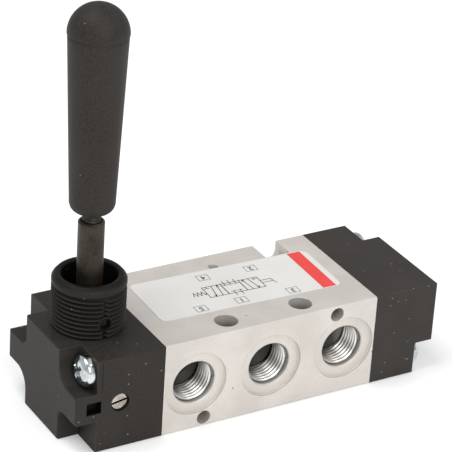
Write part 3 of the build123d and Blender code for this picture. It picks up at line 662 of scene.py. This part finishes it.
for angle in collar["ribAngles"]:  # ribs down the bore, sunk a little into its wall
    rib = bmesh.new()
    bmesh.ops.create_cube(rib, size=1.0)
    middle = Matrix.Translation((leverX, 0, (ribTop + ribLow) / 2))
    turn = Matrix.Rotation(math.radians(angle), 4, "Z")
    reach = Matrix.Translation((boreRadius - collar["ribDepth"] / 2 + collar["ribSink"], 0, 0))
    depth = collar["ribDepth"] + 2 * collar["ribSink"]
    rib.transform(middle @ turn @ reach @ Matrix.Diagonal((depth, collar["ribWidth"], ribTop - ribLow, 1)))
    parts.append(meshFromShape("rib", rib))
addPiece("collar", joinMeshes(parts), "collarMoulding", "valve", ["threaded_collar"], 40)
print("collar made:", threadTurns, "turns of thread")

# Cross-recessed pan head screws of the lever head and the end cap
screw = {
    "headRadius": 3.45 * mm, "headHeight": 2.5 * mm, "headBevel": 0.15 * mm, "rimShare": 0.42,
    "crownShare": 0.32, "shankRadius": 1.75 * mm, "grip": 5.8 * mm, "tipShare": 0.7, "tipLength": 0.8 * mm,
    "armWidth": 0.95 * mm, "armLength": 4.1 * mm, "recess": 1.7 * mm, "floorWidth": 0.75,
    "floorLength": 0.35, "crossTurn": 20, "randomTurn": 1.2, "seed": 5,
}


def screwShape(plate):
    # Bears on z = 0 with its head above; the shank goes down through the plate
    shank, head, top, bevel = [screw[key] for key in ("shankRadius", "headRadius", "headHeight", "headBevel")]
    tip, rim, crown = -plate - screw["grip"], top * screw["rimShare"], screw["crownShare"]
    outline = [(0, tip), (shank * screw["tipShare"], tip), (shank, tip + screw["tipLength"]), (shank, 0),
               (head - bevel, 0), (head, bevel), (head, rim)]
    for step in range(1, 9):
        angle = math.radians(90 * step / 9)
        outline.append((head * (crown + (1 - crown) * math.cos(angle)), rim + (top - rim) * math.sin(angle)))
    outline.append((0, top))
    whole = turnOutline(outline, 64)
    cutters = []
    for quarter in range(2):  # two crossed wedges, narrower at their floor
        wedge = bmesh.new()
        bmesh.ops.create_cube(wedge, size=1.0)
        for vertex in wedge.verts:
            low = vertex.co.z < 0
            vertex.co.x *= screw["armLength"] * (screw["floorLength"] if low else 1.0)
            vertex.co.y *= screw["armWidth"] * (screw["floorWidth"] if low else 1.0)
            vertex.co.z = top - screw["recess"] if low else top + 0.1 * mm
        wedge.transform(Matrix.Rotation(math.radians(90 * quarter + screw["crossTurn"]), 4, "Z"))
        cutters.append(wedge)
    return putInScene("screw", cutMesh(whole, cutters))


def screwPlaces(node, side):
    # Each screw of the node, where its head bears on the plate
    low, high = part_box(node)
    middleZ, halfZ = (low.z + high.z) / 2, (high.z - low.z) / 2 - screw["headRadius"]
    middleY, halfY = (low.y + high.y) / 2, (high.y - low.y) / 2 - screw["headRadius"]
    seatX = (high.x if side > 0 else low.x) - side * screw["headHeight"]
    lean = 1 if node == "housing_screws" else -1
    return [(Vector((seatX, middleY + sign * halfY, middleZ - lean * sign * halfZ)), Vector((side, 0, 0)))
            for sign in (-1, 1)]


for node, side in (("housing_screws", -1), ("cap_screws", 1)):
    places = screwPlaces(node, side)
    plate = abs(places[0][0].x - (bodyLow.x if side < 0 else bodyHigh.x))
    shape = screwShape(plate)
    mesh = meshFromTree(copyTree, places, {
        "Shape": shape, "Random turn": screw["randomTurn"], "Seed": screw["seed"],
        "Finish": finishes["zincPlate"]})
    bpy.data.objects.remove(shape)
    addPiece(node.replace("_", "-") + "-detailed", mesh, "zincPlate", "valve", [node], 30)
print("screws made")

# Thread on the stud where it shows between the rod and the grip
stud = {"ridge": 0.16 * mm, "pitch": 0.7 * mm, "turns": 4, "steps": 32, "rise": 0.4 * mm, "sink": 0.01 * mm}
studLow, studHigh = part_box("lever_stud")
studPlace = (Vector((leverX, 0, gripLow.z + stud["rise"])), Vector((0, 0, 1)))
studMesh = meshFromTree(threadTree, [studPlace], {
    "Root radius": (studHigh.x - studLow.x) / 2 - stud["sink"], "Ridge height": stud["ridge"],
    "Pitch": stud["pitch"], "Turns": stud["turns"], "Steps per turn": stud["steps"],
    "Finish": finishes["burnishedSteel"]})
addPiece("stud_thread", studMesh, "burnishedSteel", "lever", smoothAngle=60)

# Grip: the tapered moulding, with the crease under its dome
grip = {
    "domeRadius": (gripHigh.x - gripLow.x) / 2, "lowRadius": 4.65 * mm, "lowRounding": 1.76 * mm,
    "lowSweep": 84, "bossRadius": 2.3 * mm, "bossHeight": 1.0 * mm, "bossBevel": 0.2 * mm,
    "creaseDepth": 0.13 * mm, "creaseWidth": 0.30 * mm, "creaseFloor": 0.10 * mm, "creaseLip": 0.02 * mm,
    "holeRadius": 2.05 * mm, "holeDepth": 6 * mm, "holeBevel": 0.1 * mm, "rows": 40,
}


def gripOutline():
    top, low = gripHigh.z, gripLow.z
    dome, foot, rounding = grip["domeRadius"], grip["lowRadius"], grip["lowRounding"]
    boss, bossBevel = grip["bossRadius"], grip["bossBevel"]
    hole, holeTop, holeBevel = grip["holeRadius"], low + grip["holeDepth"], grip["holeBevel"]
    crease, lip = grip["creaseWidth"], grip["creaseLip"]
    base, equator = low + grip["bossHeight"], top - dome
    outline = [(0, holeTop), (hole, holeTop), (hole, low + holeBevel), (hole + holeBevel, low),
               (boss - bossBevel, low), (boss, low + bossBevel), (boss, base), (foot - rounding * 0.95, base)]
    for step in range(1, 8):  # the rounded foot
        angle = math.radians(grip["lowSweep"] * step / 7)
        outline.append((foot - rounding + rounding * math.sin(angle) + lip,
                        base + rounding * (1 - math.cos(angle))))
    start = base + rounding
    startRadius = foot + (dome - foot) * (start - base) / (equator - base)
    coneRadius, coneTop = dome - grip["creaseDepth"], equator - crease
    for step in range(grip["rows"] + 1):
        share = step / grip["rows"]
        outline.append((startRadius + (coneRadius - startRadius) * share, start + (coneTop - start) * share))
    outline.append((coneRadius - grip["creaseFloor"], equator - 0.4 * crease))
    outline.append((dome - lip, equator - 0.15 * crease))
    for step in range(1, 24):
        angle = math.radians(90 * step / 24)
        outline.append((dome * math.cos(angle), equator + dome * math.sin(angle)))
    outline.append((0, top))
    return outline


gripShape = turnOutline(gripOutline(), 96, leverAxis)
addPiece("grip_moulding", gripShape, "gripMoulding", "lever", ["grip"], 50)
print("grip made")

# Print on the label: number boxes, the 5/3 valve symbol and a plain red band. It reads from the back.
label = {"turn": -1.8, "ink": 0.2 * mm, "lift": 0.012 * mm, "boxWidth": 2.6 * mm, "boxHeight": 2.2 * mm,
         "boxInk": 0.13 * mm, "digit": 2.0 * mm, "digitWeight": 0.05 * mm, "square": 4.4 * mm,
         "tee": 0.5 * mm, "bandLength": 3.2 * mm, "bandWidth": 13.0 * mm, "bandEdge": 1.6 * mm}
labelMiddle = (labelLow + labelHigh) / 2
printPlace = (Matrix.Translation((labelMiddle.x, labelMiddle.y, labelHigh.z + label["lift"]))
              @ Matrix.Rotation(math.radians(label["turn"] + 180), 4, "Z"))


def stroke(shape, points, width=label["ink"]):
    for start, end in zip(points, points[1:]):
        start, end = Vector((*start, 0)), Vector((*end, 0))
        along = (end - start).normalized()
        aside = Vector((-along.y, along.x, 0)) * width / 2
        start, end = start - along * width / 2, end + along * width / 2
        shape.faces.new([shape.verts.new(start - aside), shape.verts.new(end - aside),
                         shape.verts.new(end + aside), shape.verts.new(start + aside)])


def faceUp(shape):
    bmesh.ops.recalc_face_normals(shape, faces=shape.faces)
    for face in shape.faces:
        if face.normal.z < 0:
            face.normal_flip()


def onLabel(x, y):
    # A place on the top face in the object's frame, in millimetres, as the label's own coordinates
    spot = printPlace.inverted() @ Vector((x * mm, y * mm, 0))
    return spot.x, spot.y


printShape = bmesh.new()
boxes = {"4": (-4.57, 6.75), "2": (6.91, 6.34), "5": (-11.4, -4.77), "1": (-1.76, -4.94), "3": (10.46, -5.62)}
for digit, (x, y) in boxes.items():
    x, y = onLabel(x, y)
    halfX, halfY = label["boxWidth"] / 2, label["boxHeight"] / 2
    stroke(printShape, [(x - halfX, y - halfY), (x + halfX, y - halfY), (x + halfX, y + halfY),
                        (x - halfX, y + halfY), (x - halfX, y - halfY)], label["boxInk"])
    curve = bpy.data.curves.new("digit", "FONT")
    curve.body = digit
    curve.size = label["digit"]
    curve.offset = label["digitWeight"]
    curve.align_x = "CENTER"
    curve.align_y = "CENTER"
    text = putInScene("digit", curve)
    mesh = plainMesh(text)
    bpy.data.objects.remove(text)
    mesh.transform(Matrix.Translation((x, y, 0)))
    printShape.from_mesh(mesh)

# The symbol: three squares, flow arrows, closed ports, lever on one side and spring on the other
symbolX, symbolY = onLabel(-0.55, 0.5)
square, tee = label["square"], label["tee"]
for index in (-1, 0, 1):
    x0 = symbolX + (index - 0.5) * square
    y0 = symbolY - square / 2
    x1, y1 = x0 + square, y0 + square
    stroke(printShape, [(x0, y0), (x1, y0), (x1, y1), (x0, y1), (x0, y0)])
    lowPorts = [x0 + square * share for share in (0.2, 0.5, 0.8)]
    highPorts = [x0 + square * share for share in (0.33, 0.67)]
    if index == 0:
        for x in lowPorts:
            stroke(printShape, [(x, y0 - 2 * tee), (x, y0 + 1.6 * tee)])
            stroke(printShape, [(x - tee, y0 + 1.6 * tee), (x + tee, y0 + 1.6 * tee)])
        for x in highPorts:
            stroke(printShape, [(x, y1 + 2 * tee), (x, y1 - 1.6 * tee)])
            stroke(printShape, [(x - tee, y1 - 1.6 * tee), (x + tee, y1 - 1.6 * tee)])
    else:
        right = index > 0
        flows = [(lowPorts[1], highPorts[1 if right else 0]),
                 (lowPorts[0 if right else 2], highPorts[0 if right else 1])]
        for number, (low, high) in enumerate(flows):
            stroke(printShape, [(low, y0), (high, y1)])
            tipY, back = (y1, -1) if number == 0 else (y0, 1)
            tipX = high if number == 0 else low
            for lean in (-0.5, 0.5):
                stroke(printShape, [(tipX, tipY), (tipX + lean * tee, tipY + back * 1.4 * tee)])
        blocked = lowPorts[2 if right else 0]
        stroke(printShape, [(blocked - tee, y0 + 1.4 * tee), (blocked + tee, y0 + 1.4 * tee)])
        stroke(printShape, [(blocked, y0), (blocked, y0 + 1.4 * tee)])
leverEnd = symbolX - 1.5 * square
handle = leverEnd - 5 * tee
stroke(printShape, [(leverEnd, symbolY - tee), (handle, symbolY - tee), (handle - tee, symbolY + 3 * tee)])
stroke(printShape, [(leverEnd, symbolY + tee), (handle, symbolY + tee)])
springStart = symbolX + 1.5 * square
zigzag = [(springStart, symbolY)]
for step in range(1, 8):
    zigzag.append((springStart + step * 0.9 * tee, symbolY + (1.5 * tee if step % 2 else -1.5 * tee)))
stroke(printShape, zigzag)
faceUp(printShape)
printShape.transform(printPlace)
addPiece("label_print", printShape, "printInk", "valve")

bandShape = bmesh.new()
bandX = -(labelHigh.x - labelLow.x) / 2 + label["bandEdge"] + label["bandLength"] / 2
stroke(bandShape, [(bandX, -label["bandWidth"] / 2), (bandX, label["bandWidth"] / 2)], label["bandLength"])
faceUp(bandShape)
bandShape.transform(printPlace)
addPiece("label_band", bandShape, "printRed", "valve")
print("label printed")

# Floor, lights and camera
studio = {
    "floorSize": 6.0, "floorDrop": 0.05 * mm, "floorTone": 0.86, "floorRoughness": 0.9, "floorGlow": 0.16,
    "worldTone": (1.0, 1.0, 1.0), "worldStrength": 0.60,
    "keyEnergy": 3.35, "keyPlace": (-0.30, 0.05, 0.80), "keySize": 0.45,
    "fillEnergy": 2.75, "fillPlace": (-0.12, -0.78, 0.50), "fillSize": 0.45,
    "edgeEnergy": 0.9, "edgePlace": (0.40, -0.42, 0.66), "edgeSize": 0.35,
}
floorMesh = bpy.data.meshes.new("floor")
half = studio["floorSize"] / 2
corners = [(-half, -half, 0), (half, -half, 0), (half, half, 0), (-half, half, 0)]
floorMesh.from_pydata(corners, [], [(0, 1, 2, 3)])
floor = putInScene("floor", floorMesh)
floor.location.z = bodyLow.z - studio["floorDrop"]
floorFinish = bpy.data.materials.new("paleFloor")
floorFinish.use_nodes = True
tone = studio["floorTone"]
sockets = floorFinish.node_tree.nodes["Principled BSDF"].inputs
sockets["Base Color"].default_value = rgb(tone, tone, tone)
sockets["Roughness"].default_value = studio["floorRoughness"]
sockets["Emission Color"].default_value = rgb(1, 1, 1)
sockets["Emission Strength"].default_value = studio["floorGlow"]
floorMesh.materials.append(floorFinish)

world = bpy.data.worlds.new("studioWorld")
bpy.context.scene.world = world
world.use_nodes = True
background = world.node_tree.nodes["Background"]
background.inputs["Color"].default_value = rgb(*studio["worldTone"])
background.inputs["Strength"].default_value = studio["worldStrength"]
bpy.context.scene.view_settings.view_transform = "Standard"

objectMiddle = Vector((leverX / 2, 0, gripHigh.z / 3))
for role in ("key", "fill", "edge"):
    lamp = bpy.data.lights.new(role, "AREA")
    lamp.energy = studio[role + "Energy"]
    lamp.size = studio[role + "Size"]
    light = putInScene(role, lamp)
    light.location = studio[role + "Place"]
    light.rotation_euler = (objectMiddle - light.location).to_track_quat("-Z", "Y").to_euler()

cameraView = {
    "aim": (-3.5 * mm, 0.5 * mm, 36.7 * mm), "distance": 0.512, "azimuth": -31.47, "elevation": 27.54,
    "roll": 3.81, "lens": 195.4,
}
azimuth, elevation = math.radians(cameraView["azimuth"]), math.radians(cameraView["elevation"])
level = math.cos(elevation)
outward = Vector((math.sin(azimuth) * level, -math.cos(azimuth) * level, math.sin(elevation)))
camera = putInScene("camera", bpy.data.cameras.new("camera"))
camera.data.lens = cameraView["lens"]
camera.data.clip_start = 0.01
camera.location = Vector(cameraView["aim"]) + outward * cameraView["distance"]
upright = (-outward).to_track_quat("-Z", "Y").to_matrix()
camera.rotation_euler = (upright @ Matrix.Rotation(math.radians(cameraView["roll"]), 3, "Z")).to_euler()
bpy.context.scene.camera = camera
print("studio set")
